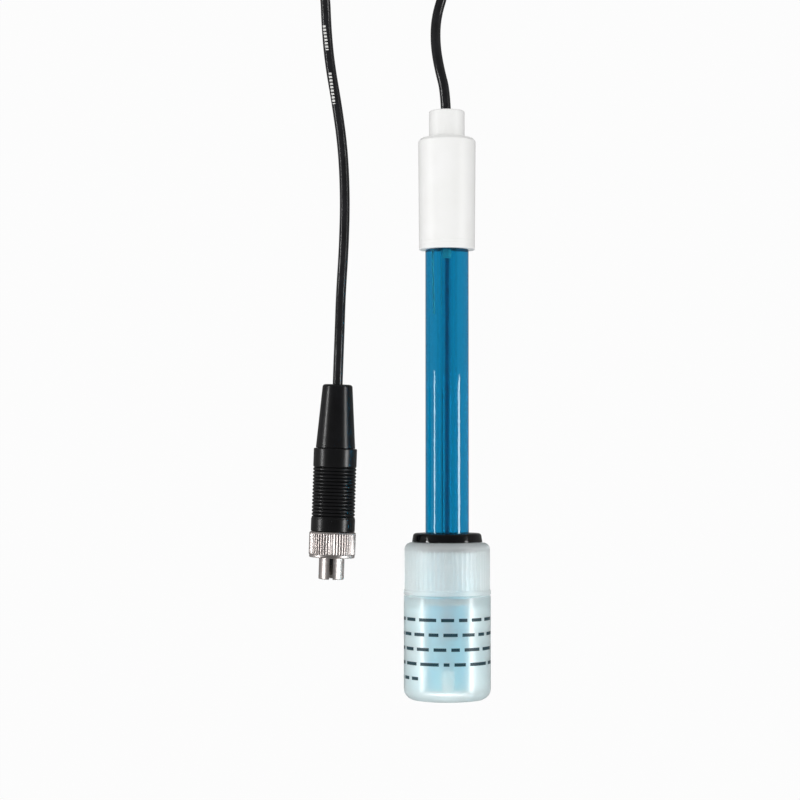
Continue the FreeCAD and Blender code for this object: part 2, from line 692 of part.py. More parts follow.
cord_radius = size("cord_radius")
inside_head = ELECTRODE.multVec(on_axis(0, cord_end))
out_of_neck = ELECTRODE.multVec(on_axis(0, value_of(NECK_TOP) + 4))
HEAD_ROUTE = [inside_head, out_of_neck] + [FreeCAD.Vector(*point) for point in (
    (-2.2, 94.1, 6.2),
    (-3.2, 101.4, 3.9),
    (-2.9, 108.6, 1.9),
    (-1.0, 115.2, 1.4),
    (1.5, 122.9, 1.4),
    (4.1, 131.2, 1.4),
)]
inside_plug = PLUG.multVec(on_axis(0, value_of(CORD_END_IN_PLUG)))
out_of_boot = PLUG.multVec(on_axis(0, value_of(BOOT_TOP) + 5))
PLUG_ROUTE = [FreeCAD.Vector(*point) for point in (
    (-37.6, 134.8, 4.2),
    (-35.9, 125.0, 3.3),
    (-34.1, 115.4, 1.6),
    (-33.8, 106.4, 1.4),
    (-32.9, 96.1, 1.4),
    (-30.8, 84.1, 1.4),
    (-29.1, 71.6, 1.4),
    (-28.5, 57.6, 1.4),
    (-28.9, 43.6, 1.4),
    (-29.7, 31.1, 2.1),
    (-30.0, 20.1, 4.2),
)] + [out_of_boot, inside_plug]
head_run = lead_run("cord_run_head", HEAD_ROUTE, cord_radius)
plug_run = lead_run("cord_run_plug", PLUG_ROUTE, cord_radius)


# Coil of the stored length, one closed ring of its outer shape
def make_coil():
    body = turned("cord_coil", [
        ("coil_inner - cord_radius", "0"), ("coil_outer + cord_radius", "0"),
        ("coil_outer + cord_radius", "2 * cord_radius * coil_layers"),
        ("coil_inner - cord_radius", "2 * cord_radius * coil_layers")])
    dress(body, "Fillet", [0, 1, 2, 3], "cord_radius * 0.9")
    notch = sketch_on(body, "tie_notch", "XZ_Plane")
    half = "(tie_width / 2 + tie_gap)"
    outline(notch, [(f"-{half}", "-1"), (half, "-1"), (half, "tie_thickness + tie_gap / 2"),
                    (f"-{half}", "tie_thickness + tie_gap / 2")])
    doc.recompute()
    cut(body, "Pocket", notch, Length="coil_outer + cord_radius + 1")
    return body


# Tie round the bundle of turns
def make_tie():
    body = doc.addObject("PartDesign::Body", "cord_tie")
    loop = sketch_on(body, "cord_tie_loop", "YZ_Plane")
    inside, outside = "coil_inner - cord_radius - tie_gap", "coil_outer + cord_radius + tie_gap"
    roof = "2 * cord_radius * coil_layers + tie_gap"
    outline(loop, [(f"{inside} - tie_thickness", "0"), (f"{outside} + tie_thickness", "0"),
                   (f"{outside} + tie_thickness", f"{roof} + tie_thickness"),
                   (f"{inside} - tie_thickness", f"{roof} + tie_thickness")])
    outline(loop, [(inside, "tie_thickness"), (outside, "tie_thickness"), (outside, roof), (inside, roof)])
    band = body.newObject("PartDesign::Pad", "cord_tie_band")
    band.Profile = loop
    band.setExpression("Length", sized("tie_width"))
    band.Midplane = True
    doc.recompute()
    ends = [band.Shape.BoundBox.YMin, band.Shape.BoundBox.YMax]
    corners = [f"Edge{number}" for number, edge in enumerate(band.Shape.Edges, start=1)
               if edge.BoundBox.XLength > edge.BoundBox.YLength + edge.BoundBox.ZLength
               and min(abs(edge.BoundBox.Center.y - end) for end in ends) < 1e-3]
    rounding = body.newObject("PartDesign::Fillet", "cord_tie_corners")
    rounding.Base = (band, corners)
    rounding.setExpression("Radius", sized("cord_radius * 0.8"))
    body.Tip = rounding
    doc.recompute()
    return body


coil_place = FreeCAD.Placement(FreeCAD.Vector(size("coil_centre_x"), size("coil_centre_y"), 0), FreeCAD.Rotation())
coil, tie = make_coil(), make_tie()
coil.Placement = coil_place
tie.Placement = coil_place

# Check every piece, then write one file for each
pieces = electrode_pieces + plug_pieces + [head_run, plug_run, coil, tie]
doc.recompute()
for item in doc.Objects:
    if {"Invalid", "Error"} & set(item.State):
        raise RuntimeError(f"{item.Label} failed: {item.State}")
for piece in pieces:
    if piece.Shape.isNull() or not piece.Shape.isValid() or not piece.Shape.Solids:
        raise RuntimeError(f"{piece.Label} has no sound shape")
    piece.Shape.exportStep(f"parts/{piece.Label}.step")
print(f"{len(pieces)} pieces written")
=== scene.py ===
import json
import math

import bpy
from mathutils import Matrix, Vector


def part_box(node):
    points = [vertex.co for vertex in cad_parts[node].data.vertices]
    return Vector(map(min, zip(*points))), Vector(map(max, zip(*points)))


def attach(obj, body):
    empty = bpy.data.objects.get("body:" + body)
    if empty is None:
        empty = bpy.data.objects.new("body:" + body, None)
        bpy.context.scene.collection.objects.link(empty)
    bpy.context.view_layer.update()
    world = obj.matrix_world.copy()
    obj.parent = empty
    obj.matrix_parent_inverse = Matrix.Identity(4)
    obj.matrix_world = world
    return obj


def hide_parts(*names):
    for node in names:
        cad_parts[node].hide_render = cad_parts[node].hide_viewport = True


# A redox electrode in its storage bottle, with its lead and plug, seen from straight above.
# Turned pieces are modelled in millimetres about their own axis, +Z away from the tip, and then laid in the
# frame. The electrode, the bottle, the cap and the seal share one axis, and the plug's pieces share another.

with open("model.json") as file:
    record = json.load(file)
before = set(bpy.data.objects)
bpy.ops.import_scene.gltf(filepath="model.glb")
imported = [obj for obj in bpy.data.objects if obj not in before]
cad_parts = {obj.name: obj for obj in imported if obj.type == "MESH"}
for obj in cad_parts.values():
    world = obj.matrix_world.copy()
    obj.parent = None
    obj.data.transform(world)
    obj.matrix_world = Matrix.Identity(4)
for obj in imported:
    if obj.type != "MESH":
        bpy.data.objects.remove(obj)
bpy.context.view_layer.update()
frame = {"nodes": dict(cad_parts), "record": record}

MM = 0.001
FULL_TURN = 2 * math.pi
TURN_STEPS = 128
ROUND_STEPS = 5
SMOOTH_ANGLE = math.radians(32)


# Places taken from the frame
def axis_frame(mount_name, first_node):
    """The local frame of a turned assembly, in mm.

    +Z runs back from the tip at the mount, and zero is where the first node starts.
    """
    mount = next(m for m in frame["record"]["mounts"] if m["name"] == mount_name)
    along = -Vector(mount["axis"]).normalized()
    across = along.cross(Vector((0, 0, 1))).normalized()
    down = along.cross(across)
    turn = Matrix((across, down, along)).transposed().to_4x4()
    place = Matrix.Translation(Vector(mount["pos_m"])) @ turn @ Matrix.Scale(MM, 4)
    start = min((place.inverted() @ v.co).z for v in frame["nodes"][first_node].data.vertices)
    return place @ Matrix.Translation((0, 0, start))


def reach(node, place):
    """Where a node starts and ends along the local axis, and how far out it goes, in mm."""
    points = [place.inverted() @ v.co for v in frame["nodes"][node].data.vertices]
    return min(p.z for p in points), max(p.z for p in points), max(p.xy.length for p in points)


ELECTRODE = axis_frame("shaft", "storage_bottle")
PLUG = axis_frame("plug_ferrule", "ferrule")


# Colours and nodes
def colour(code):
    """A linear colour from an sRGB hex code."""
    parts = [int(code[i:i + 2], 16) / 255 for i in (1, 3, 5)]
    linear = [p / 12.92 if p <= 0.04045 else ((p + 0.055) / 1.055) ** 2.4 for p in parts]
    return (*linear, 1.0)


def add(material, kind, settings=None, links=None):
    """Add a node, set the sockets and options named in settings, and feed the sockets named in links."""
    made = material.node_tree.nodes.new(kind)
    for name, value in (settings or {}).items():
        if isinstance(name, int) or name in made.inputs:
            made.inputs[name].default_value = value
        else:
            setattr(made, name, value)
    for name, source in (links or {}).items():
        material.node_tree.links.new(source, made.inputs[name])
    return made


def per_mm(size):
    """The texture scale that gives features of this size in mm."""
    return 1 / (size * MM)


def new_material(name, settings):
    """A material with a Principled shader, its settings, and its object coordinates."""
    material = bpy.data.materials.new(name)
    material.use_nodes = True
    material.node_tree.nodes.clear()
    shader = add(material, "ShaderNodeBsdfPrincipled", settings)
    add(material, "ShaderNodeOutputMaterial", links={"Surface": shader.outputs["BSDF"]})
    coordinates = add(material, "ShaderNodeTexCoord")
    return material, shader, coordinates.outputs["Object"]


def grain(material, shader, where, size, depth):
    """A fine bump of this feature size and depth, both in mm."""
    noise = add(material, "ShaderNodeTexNoise", {"Scale": per_mm(size), "Detail": 3.0}, {"Vector": where})
    bump = add(material, "ShaderNodeBump", {"Distance": depth * MM}, {"Height": noise.outputs["Fac"]})
    material.node_tree.links.new(bump.outputs["Normal"], shader.inputs["Normal"])


# The noise values at which the drift between two colours starts and ends
DRIFT_FROM, DRIFT_TO = 0.3, 0.7


def mottle(material, shader, where, size, dark, light):
    """Let the base colour drift between two hex colours over patches of this size in mm."""
    noise = add(material, "ShaderNodeTexNoise", {"Scale": per_mm(size), "Detail": 2.0}, {"Vector": where})
    ramp = add(material, "ShaderNodeValToRGB", links={"Fac": noise.outputs["Fac"]})
    ramp.color_ramp.elements[0].position = DRIFT_FROM
    ramp.color_ramp.elements[0].color = colour(dark)
    ramp.color_ramp.elements[1].position = DRIFT_TO
    ramp.color_ramp.elements[1].color = colour(light)
    material.node_tree.links.new(ramp.outputs["Color"], shader.inputs["Base Color"])


def compute(material, kind, *values):
    """One Math node on sockets and plain numbers, and what comes out of it."""
    sources = {number: value for number, value in enumerate(values) if not isinstance(value, float)}
    numbers = {number: value for number, value in enumerate(values) if isinstance(value, float)}
    return add(material, "ShaderNodeMath", {"operation": kind, **numbers}, sources).outputs[0]


def print_over(material, shader, mask, ink_colour):
    """Lay ink of this colour over a shader wherever the mask is 1."""
    ink = add(material, "ShaderNodeBsdfPrincipled", {
        "Base Color": colour(ink_colour), "Roughness": 0.4, "IOR": 1.5})
    printed = add(material, "ShaderNodeMixShader", links={
        "Fac": mask, 1: shader.outputs["BSDF"], 2: ink.outputs["BSDF"]})
    output = next(node for node in material.node_tree.nodes if node.bl_idname == "ShaderNodeOutputMaterial")
    material.node_tree.links.new(printed.outputs[0], output.inputs["Surface"])


def in_local(material, where, place):
    """Object coordinates turned into the local frame of an assembly, in metres."""
    turn = place.to_3x3().normalized().inverted()
    shift = -(turn @ place.translation)
    mapping = add(material, "ShaderNodeMapping",
                  {"Location": shift, "Rotation": turn.to_euler()}, {"Vector": where})
    return mapping.outputs["Vector"]


# Materials, sizes in mm. A surface that touches the gel has its own index divided by the gel's.
ACRYLIC_INDEX, GLASS_INDEX, RESIN_INDEX, GEL_INDEX = 1.49, 1.51, 1.55, 1.36

# Painted light: below the first height the shaft's colour is painted paler, where the tip lies in the milky
# bottle; above the second it has its deep dye. The dye drifts slowly at random.
PAINTED_LIGHT_BELOW, PAINTED_LIGHT_ENDS_ABOVE = 30, 46
DYE_DRIFT = 0.08


def moulded_white_abs():
    """Injection-moulded ABS: satin white, with the very fine grain of a spark-eroded mould."""
    material, shader, where = new_material("moulded_white_abs", {"Roughness": 0.42, "IOR": 1.53})
    mottle(material, shader, where, 9.0, "#f0f0ee", "#f4f4f3")
    grain(material, shader, where, 0.25, 0.004)
    return material


def extruded_blue_acrylic(name="extruded_blue_acrylic", beyond=1.0):
    """Clear acrylic tube, dyed blue in the mass, painted paler toward the tip as painted light: sharp
    reflections.
    """
    material, shader, where = new_material(name, {
        "Roughness": 0.02, "IOR": ACRYLIC_INDEX / beyond, "Transmission Weight": 1.0})
    local = add(material, "ShaderNodeSeparateXYZ", links={"Vector": in_local(material, where, ELECTRODE)})
    # Painted light: the pale end of the ramp stands in for the light the tip gets in the milky bottle.
    height = add(material, "ShaderNodeMapRange",
                 {"From Min": PAINTED_LIGHT_BELOW * MM, "From Max": PAINTED_LIGHT_ENDS_ABOVE * MM},
                 {"Value": local.outputs["Z"]})
    noise = add(material, "ShaderNodeTexNoise", {"Scale": per_mm(6.0)}, {"Vector": where})
    depth = add(material, "ShaderNodeMath", {"operation": "MULTIPLY_ADD", 1: DYE_DRIFT},
                {0: noise.outputs["Fac"], 2: height.outputs["Result"]})
    ramp = add(material, "ShaderNodeValToRGB", links={"Fac": depth.outputs[0]})
    ramp.color_ramp.elements[0].color = colour("#72e6f8")
    ramp.color_ramp.elements[1].color = colour("#34b4d1")
    material.node_tree.links.new(ramp.outputs["Color"], shader.inputs["Base Color"])
    return material


def drawn_glass(name="drawn_glass", beyond=1.0):
    """Drawn glass tube: colourless and smooth, nearly lost in the gel but bright at its dry bore."""
    material, shader, where = new_material(name, {
        "Roughness": 0.02, "IOR": GLASS_INDEX / beyond, "Transmission Weight": 1.0})
    mottle(material, shader, where, 5.0, "#e2f0f3", "#eaf5f7")
    return material


# Bottle print, in mm: where the lowest and the highest row lie, the rows' pitch, the bars' height and the
# length of a word. The gap is a share of a word. The lowest row is short, and ends at this way round, counted
# in words. From row to row the words are shifted, counted in words too.
PRINT_ROWS = (6.5, 22.5)
PRINT_PITCH, PRINT_HEIGHT = 4.0, 0.9
PRINT_WORD, PRINT_GAP = 5.2, 0.13
PRINT_RADIUS = 11.9
PRINT_SHORT_ROW_END = -5.3
PRINT_ROW_SHIFT = 7.3


def bottle_print(material, where):
    """Rows of bars, as long as words, round the outside of the bottle: 1 where there is ink."""
    local = add(material, "ShaderNodeSeparateXYZ", links={"Vector": in_local(material, where, ELECTRODE)})
    across, deep, height = (compute(material, "MULTIPLY", local.outputs[axis], 1 / MM) for axis in "XYZ")
    distance = compute(material, "SQRT", compute(material, "MULTIPLY_ADD", across, across,
                                                 compute(material, "MULTIPLY", deep, deep)))
    above_first = compute(material, "SUBTRACT", height, PRINT_ROWS[0])
    row = compute(material, "ROUND", compute(material, "DIVIDE", above_first, PRINT_PITCH))
    in_row = compute(material, "COMPARE", above_first, compute(material, "MULTIPLY", row, PRINT_PITCH),
                     PRINT_HEIGHT / 2)
    turn = compute(material, "ARCTAN2", deep, across)
    round_way = compute(material, "MULTIPLY", turn, PRINT_RADIUS / PRINT_WORD)
    whole_row = compute(material, "GREATER_THAN", row, 0.5)
    in_short_row = compute(material, "LESS_THAN", round_way, PRINT_SHORT_ROW_END)
    wanted = compute(material, "MAXIMUM", whole_row, in_short_row)
    words = add(material, "ShaderNodeTexVoronoi",
                {"voronoi_dimensions": "1D", "feature": "DISTANCE_TO_EDGE", "Scale": 1.0},
                {"W": compute(material, "MULTIPLY_ADD", row, PRINT_ROW_SHIFT, round_way)})
    in_word = compute(material, "GREATER_THAN", words.outputs["Distance"], PRINT_GAP)
    lowest, highest = PRINT_ROWS
    in_rows = compute(material, "COMPARE", height, (lowest + highest) / 2, (highest - lowest) / 2 + 1.0)
    outside = compute(material, "GREATER_THAN", distance, PRINT_RADIUS)
    mask = in_row
    for part in (wanted, in_word, in_rows, outside):
        mask = compute(material, "MULTIPLY", mask, part)
    return mask


# Lead print, in mm in the frame: each row's middle and half length along Y, the line that the lead takes
# there as slope and start, the marks' width, their pitch and the share of it that is a gap, and their lowest
# height
LEAD_PRINT_ROWS = ((103.1, 3.7), (88.8, 4.5))
LEAD_PRINT_SLOPE, LEAD_PRINT_START = -0.126, -21.0
LEAD_PRINT_WIDTH, LEAD_PRINT_PITCH, LEAD_PRINT_GAP = 0.8, 0.95, 0.42
LEAD_PRINT_ABOVE = 1.5


def lead_print(material, where):
    """Two rows of small marks on the upper side of the lead: 1 where there is ink."""
    frame_place = add(material, "ShaderNodeSeparateXYZ", links={"Vector": where})
    x, y, z = (compute(material, "MULTIPLY", frame_place.outputs[axis], 1 / MM) for axis in "XYZ")
    first, second = (compute(material, "COMPARE", y, *row) for row in LEAD_PRINT_ROWS)
    line = compute(material, "MULTIPLY_ADD", y, LEAD_PRINT_SLOPE, LEAD_PRINT_START)
    on_line = compute(material, "COMPARE", x, line, LEAD_PRINT_WIDTH / 2)
    along = compute(material, "FRACT", compute(material, "DIVIDE", y, LEAD_PRINT_PITCH))
    mask = compute(material, "MAXIMUM", first, second)
    for part in (on_line, compute(material, "GREATER_THAN", along, LEAD_PRINT_GAP),
                 compute(material, "GREATER_THAN", z, LEAD_PRINT_ABOVE)):
        mask = compute(material, "MULTIPLY", mask, part)
    return mask


def blown_polyethylene():
    """Blow-moulded natural polyethylene: milky, with a glossy, slowly wavy skin and rows of dark print."""
    material, shader, where = new_material("blown_polyethylene", {
        "Roughness": 0.3, "IOR": 1.51, "Transmission Weight": 0.75,
        "Coat Weight": 0.35, "Coat Roughness": 0.08})
    mottle(material, shader, where, 8.0, "#ecf9fb", "#f3fdfe")
    grain(material, shader, where, 5.0, 0.03)
    print_over(material, shader, bottle_print(material, where), "#1d3f49")
    return material


def moulded_polyethylene():
    """Injection-moulded natural polyethylene: milky and a little greyer than the blown bottle."""
    material, shader, where = new_material("moulded_polyethylene", {
        "Roughness": 0.38, "IOR": 1.51, "Transmission Weight": 0.75})
    mottle(material, shader, where, 6.0, "#f0f8f9", "#f6fbfc")
    grain(material, shader, where, 0.8, 0.01)
    return material


def moulded_black_rubber():
    """Moulded nitrile rubber, polished by its mould: black and wet-looking."""
    material, shader, where = new_material("moulded_black_rubber", {"Roughness": 0.08, "IOR": 1.52})
    mottle(material, shader, where, 3.0, "#070708", "#0d0d0f")
    grain(material, shader, where, 0.6, 0.01)
    return material


def moulded_black_abs():
    """Moulded black ABS: semi-gloss."""
    material, shader, where = new_material("moulded_black_abs", {"Roughness": 0.28, "IOR": 1.53})
    mottle(material, shader, where, 4.0, "#08080a", "#0f0f11")
    grain(material, shader, where, 0.3, 0.004)
    return material


def moulded_black_pvc():
    """Soft moulded PVC of the boot: satin black."""
    material, shader, where = new_material("moulded_black_pvc", {"Roughness": 0.26, "IOR": 1.53})
    mottle(material, shader, where, 4.0, "#0a0a0c", "#111114")
    grain(material, shader, where, 0.35, 0.006)
    return material


def extruded_black_pvc():
    """Extruded PVC jacket of the lead: satin black, with a few pale printed marks."""
    material, shader, where = new_material("extruded_black_pvc", {"Roughness": 0.2, "IOR": 1.53})
    mottle(material, shader, where, 3.0, "#18181a", "#212124")
    grain(material, shader, where, 0.5, 0.008)
    print_over(material, shader, lead_print(material, where), "#d8d8d5")
    return material


def bright_nickel():
    """Nickel plate on turned brass: warm bright metal with fine turning lines round the axis."""
    material, shader, where = new_material("bright_nickel", {"Metallic": 1.0, "Roughness": 0.36})
    local = in_local(material, where, PLUG)
    stretch = add(material, "ShaderNodeVectorMath", {"operation": "MULTIPLY", 1: (0.05, 0.05, 1.0)},
                  {0: local})
    mottle(material, shader, stretch.outputs["Vector"], 0.3, "#e6dcd8", "#f3ebe8")
    grain(material, shader, stretch.outputs["Vector"], 0.12, 0.002)
    return material


def bright_wire():
    """Drawn silver and platinum wire: bright, with a faint mottle."""
    material, shader, where = new_material("bright_wire", {"Metallic": 1.0, "Roughness": 0.4})
    mottle(material, shader, where, 0.5, "#c4c6c6", "#dcdedd")
    return material


def dull_nickel():
    """Dull nickel plate on the contact pins."""
    material, shader, where = new_material("dull_nickel", {"Metallic": 1.0, "Roughness": 0.35})
    mottle(material, shader, where, 0.6, "#8c8780", "#a39e96")
    return material


def cast_epoxy():
    """Cast epoxy that seals the tube: clear, with a rounded lower skin."""
    material, shader, where = new_material("cast_epoxy", {
        "Roughness": 0.08, "IOR": RESIN_INDEX / GEL_INDEX, "Transmission Weight": 0.9})
    mottle(material, shader, where, 2.0, "#b9dbe6", "#cfe8ee")
    return material


def milky_epoxy():
    """Filled epoxy of the drop in the stem's top: pale and milky."""
    material, shader, where = new_material("milky_epoxy", {
        "Roughness": 0.15, "IOR": RESIN_INDEX, "Transmission Weight": 0.3})
    mottle(material, shader, where, 0.8, "#dff0f4", "#eef8fa")
    return material


def fired_ceramic():
    """Porous fired ceramic: off-white and chalky."""
    material, shader, where = new_material("fired_ceramic", {"Roughness": 0.8, "IOR": 1.5})
    mottle(material, shader, where, 0.3, "#ddd7c9", "#efeade")
    grain(material, shader, where, 0.08, 0.01)
    return material


def moulded_grey_plastic():
    """Moulded acetal of the end bush: pale, faintly blue and waxy."""
    material, shader, where = new_material("moulded_grey_plastic", {"Roughness": 0.4, "IOR": 1.48})
    mottle(material, shader, where, 2.0, "#d3e6ea", "#dfeef1")
    return material


def moulded_black_nylon():
    """Glass-filled nylon of the contact insert: dull black."""
    material, shader, where = new_material("moulded_black_nylon", {"Roughness": 0.5, "IOR": 1.53})
    mottle(material, shader, where, 1.0, "#101012", "#18181b")
    grain(material, shader, where, 0.1, 0.005)
    return material


def extruded_insulation():
    """Soft extruded insulation of the inner leads."""
    material, shader, where = new_material("extruded_insulation", {"Roughness": 0.45, "IOR": 1.5})
    mottle(material, shader, where, 1.0, "#a8251d", "#b83227")
    return material


def extruded_blue_insulation():
    """Extruded insulation of the lead in the stem: plain blue."""
    material, shader, where = new_material("extruded_blue_insulation", {"Roughness": 0.4, "IOR": 1.5})
    mottle(material, shader, where, 1.0, "#3b6d90", "#437a9c")
    return material


def woven_nylon():
    """Black nylon strap, woven: fine ribs across it."""
    material, shader, where = new_material("woven_nylon", {"Roughness": 0.7, "IOR": 1.5, "Sheen Weight": 0.3})
    mottle(material, shader, where, 0.4, "#0c0c0e", "#1b1b1f")
    weave = add(material, "ShaderNodeTexWave", {"Scale": per_mm(3.0), "Distortion": 1.0}, {"Vector": where})
    bump = add(material, "ShaderNodeBump", {"Distance": 0.05 * MM}, {"Height": weave.outputs["Fac"]})
    material.node_tree.links.new(bump.outputs["Normal"], shader.inputs["Normal"])
    return material


# Modelling helpers
def only(piece):
    """Make this the one selected and active object."""
    bpy.ops.object.select_all(action="DESELECT")
    piece.select_set(True)
    bpy.context.view_layer.objects.active = piece


def pick(piece, wanted):
    """In edit mode, select the vertices whose place passes the test, and nothing else."""
    bpy.ops.mesh.select_all(action="DESELECT")
    bpy.ops.object.mode_set(mode="OBJECT")
    for vertex in piece.data.vertices:
        vertex.select = wanted(vertex.co)
    bpy.ops.object.mode_set(mode="EDIT")


def draw_line(name, corners, closed, plane=(0, 2)):
    """A new mesh of one run of edges through corners (a, b, rounding), a and b along the plane's two axes."""
    bpy.ops.object.select_all(action="DESELECT")
    bpy.ops.mesh.primitive_plane_add(size=1)
    piece = bpy.context.object
    piece.name = piece.data.name = name
    bpy.ops.object.mode_set(mode="EDIT")
    bpy.ops.mesh.select_mode(type="VERT")
    bpy.ops.mesh.merge(type="CENTER")
    spots = []
    for corner in corners:
        spot = Vector((0, 0, 0))
        spot[plane[0]], spot[plane[1]] = corner[0], corner[1]
        spots.append(spot)
    bpy.ops.transform.translate(value=spots[0])
    for here, there in zip(spots, spots[1:] + spots[:1] * closed):
        bpy.ops.mesh.extrude_vertices_move(TRANSFORM_OT_translate={"value": there - here})
    bpy.ops.mesh.select_all(action="SELECT")
    bpy.ops.mesh.remove_doubles(threshold=1e-4)
    for rounding in sorted({c[2] for c in corners if len(c) > 2}):
        round_here = [spot for spot, corner in zip(spots, corners) if corner[2:] == (rounding,)]
        pick(piece, lambda co: any((co - spot).length < 1e-3 for spot in round_here))
        bpy.ops.mesh.bevel(affect="VERTICES", offset=rounding, segments=ROUND_STEPS)
    return piece


def turned(name, corners, steps=TURN_STEPS):
    """A solid turned about Z from an outline of corners (radius, height, rounding), open only at the axis."""
    closed = corners[0][0] > 0 or corners[-1][0] > 0
    piece = draw_line(name, corners, closed)
    bpy.ops.mesh.select_all(action="SELECT")
    bpy.ops.mesh.spin(steps=steps, angle=FULL_TURN, center=(0, 0, 0), axis=(0, 0, 1))
    bpy.ops.mesh.select_all(action="SELECT")
    bpy.ops.mesh.remove_doubles(threshold=1e-4)
    bpy.ops.mesh.normals_make_consistent(inside=False)
    bpy.ops.object.mode_set(mode="OBJECT")
    return piece


def push_in(piece, steps, tooth_steps, deep, outside, low, high, factor):
    """Press grooves along Z into a turned wall: scale the deep steps of each tooth toward the axis."""
    only(piece)
    bpy.ops.object.mode_set(mode="EDIT")

    def in_groove(co):
        turn = math.atan2(co.y, co.x) / FULL_TURN * steps
        return co.xy.length > outside and low < co.z < high and round(turn) % tooth_steps in deep

    pick(piece, in_groove)
    bpy.ops.transform.resize(value=(factor, factor, 1), center_override=(0, 0, 0))
    bpy.ops.object.mode_set(mode="OBJECT")


def apply_modifier(piece, kind, **settings):
    """Add a modifier with its settings and apply it."""
    only(piece)
    modifier = piece.modifiers.new(kind.lower(), kind)
    for name, value in settings.items():
        setattr(modifier, name, value)
    bpy.ops.object.modifier_apply(modifier=modifier.name)


def box_tool(size, centre):
    """A block that is cut out of a piece and then removed."""
    bpy.ops.object.select_all(action="DESELECT")
    bpy.ops.mesh.primitive_cube_add(size=1, location=centre)
    tool = bpy.context.object
    tool.scale = size
    bpy.ops.object.transform_apply(location=True, rotation=True, scale=True)
    return tool


def combine(piece, tool, operation):
    """Cut the tool out of the piece, or join it on, and remove the tool."""
    apply_modifier(piece, "BOOLEAN", operation=operation, object=tool, solver="EXACT")
    bpy.data.objects.remove(tool)


THREAD_PITCH = 2.1
THREAD_STEPS = 64
THREAD_ROOT = 0.15


def helix_ridge(name, radius, height, width, turns, start):
    """A thread crest: a small trapezium swept round Z, its base a little inside the wall that carries it."""
    side = math.copysign(1, height)
    base = radius - side * THREAD_ROOT
    corners = [(base, start - width / 2), (radius + height, start - width * 0.22),
               (radius + height, start + width * 0.22), (base, start + width / 2)]
    piece = draw_line(name, corners, True)
    bpy.ops.object.mode_set(mode="OBJECT")
    steps = int(THREAD_STEPS * turns)
    apply_modifier(piece, "SCREW", angle=FULL_TURN * turns, screw_offset=THREAD_PITCH * turns, steps=steps,
                   render_steps=steps, use_merge_vertices=False)
    bpy.ops.object.mode_set(mode="EDIT")
    bpy.ops.mesh.select_mode(type="EDGE")
    bpy.ops.mesh.select_all(action="DESELECT")
    bpy.ops.mesh.select_non_manifold(extend=False)
    bpy.ops.mesh.fill()
    bpy.ops.mesh.select_all(action="SELECT")
    bpy.ops.mesh.normals_make_consistent(inside=False)
    bpy.ops.object.mode_set(mode="OBJECT")
    return piece


def line_bore(piece, material, radius):
    """Give the faces of a turned piece that lie within this radius a material of their own."""
    piece.data.materials.append(material)
    for face in piece.data.polygons:
        if Vector((face.center.x, face.center.y)).length < radius and abs(face.normal.z) < 0.5:
            face.material_index = 1


def let_light_through(piece):
    """Clear and milky plastic throws no hard shadow on what it holds."""
    piece.visible_shadow = False


def finish_piece(piece, place, material, body, slot, *nodes):
    """Smooth a piece, lay it in its material in the frame, attach it to its body and hide its nodes. Slot:
    not used.
    """
    only(piece)
    bpy.ops.object.shade_smooth_by_angle(angle=SMOOTH_ANGLE)
    apply_modifier(piece, "WEIGHTED_NORMAL", mode="FACE_AREA", weight=50, keep_sharp=True)
    piece.data.transform(place)
    piece.data.update()
    if piece.data.materials:
        piece.data.materials[0] = material
    else:
        piece.data.materials.append(material)
    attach(piece, body)
    if nodes:
        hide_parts(*nodes)
    return piece


# Camera, straight above, at the photograph's distance: sizes in pixels and mm
IMAGE_SIDE = 800
FOCAL_PIXELS = 2100
SENSOR = 36.0
CAMERA_CENTRE = (-13.06, 1.09, 593.0)


def make_camera():
    """Camera straight above, upright, with the photograph's frame."""
    camera = bpy.data.objects.new("camera", bpy.data.cameras.new("camera"))
    bpy.context.scene.collection.objects.link(camera)
    camera.data.sensor_width = SENSOR
    camera.data.lens = SENSOR * FOCAL_PIXELS / IMAGE_SIDE
    camera.location = Vector(CAMERA_CENTRE) * MM
    bpy.context.scene.camera = camera


# Lead: the same route as the solids, in mm, with the coil's turns worked out
CORD_DIAMETER = 2.8
HEAD_ROUTE = [(-2.2, 94.1, 6.2), (-3.2, 101.4, 3.9), (-2.9, 108.6, 1.9), (-1.0, 115.2, 1.4),
              (1.5, 122.9, 1.4)]
PLUG_ROUTE = [(-35.9, 125.0, 3.3), (-34.1, 115.4, 1.6), (-33.8, 106.4, 1.4), (-32.9, 96.1, 1.4),
              (-30.8, 84.1, 1.4), (-29.1, 71.6, 1.4), (-28.5, 57.6, 1.4), (-28.9, 43.6, 1.4),
              (-29.7, 31.1, 2.1), (-30.0, 20.1, 4.2)]
# How far the lead reaches into the head and the clamp, and how far it runs straight out of head and boot
REACH_IN_HEAD, REACH_IN_CLAMP = 13.8, 0.5
STRAIGHT_FROM_HEAD, STRAIGHT_FROM_BOOT = 4, 5
COIL_CENTRE = (-16.3, 138.6)
COIL_OUTER, COIL_INNER = 21.7, 11.9
COIL_START, COIL_END = -20, 190
COIL_TURNS = 7
POINTS_PER_TURN = 24
# The tie's strap runs under the coil and lifts it a little on both sides of this angle, in degrees
TIE_LIFT, TIE_AT, TIE_LIFT_ANGLE = 0.3, 90, 24


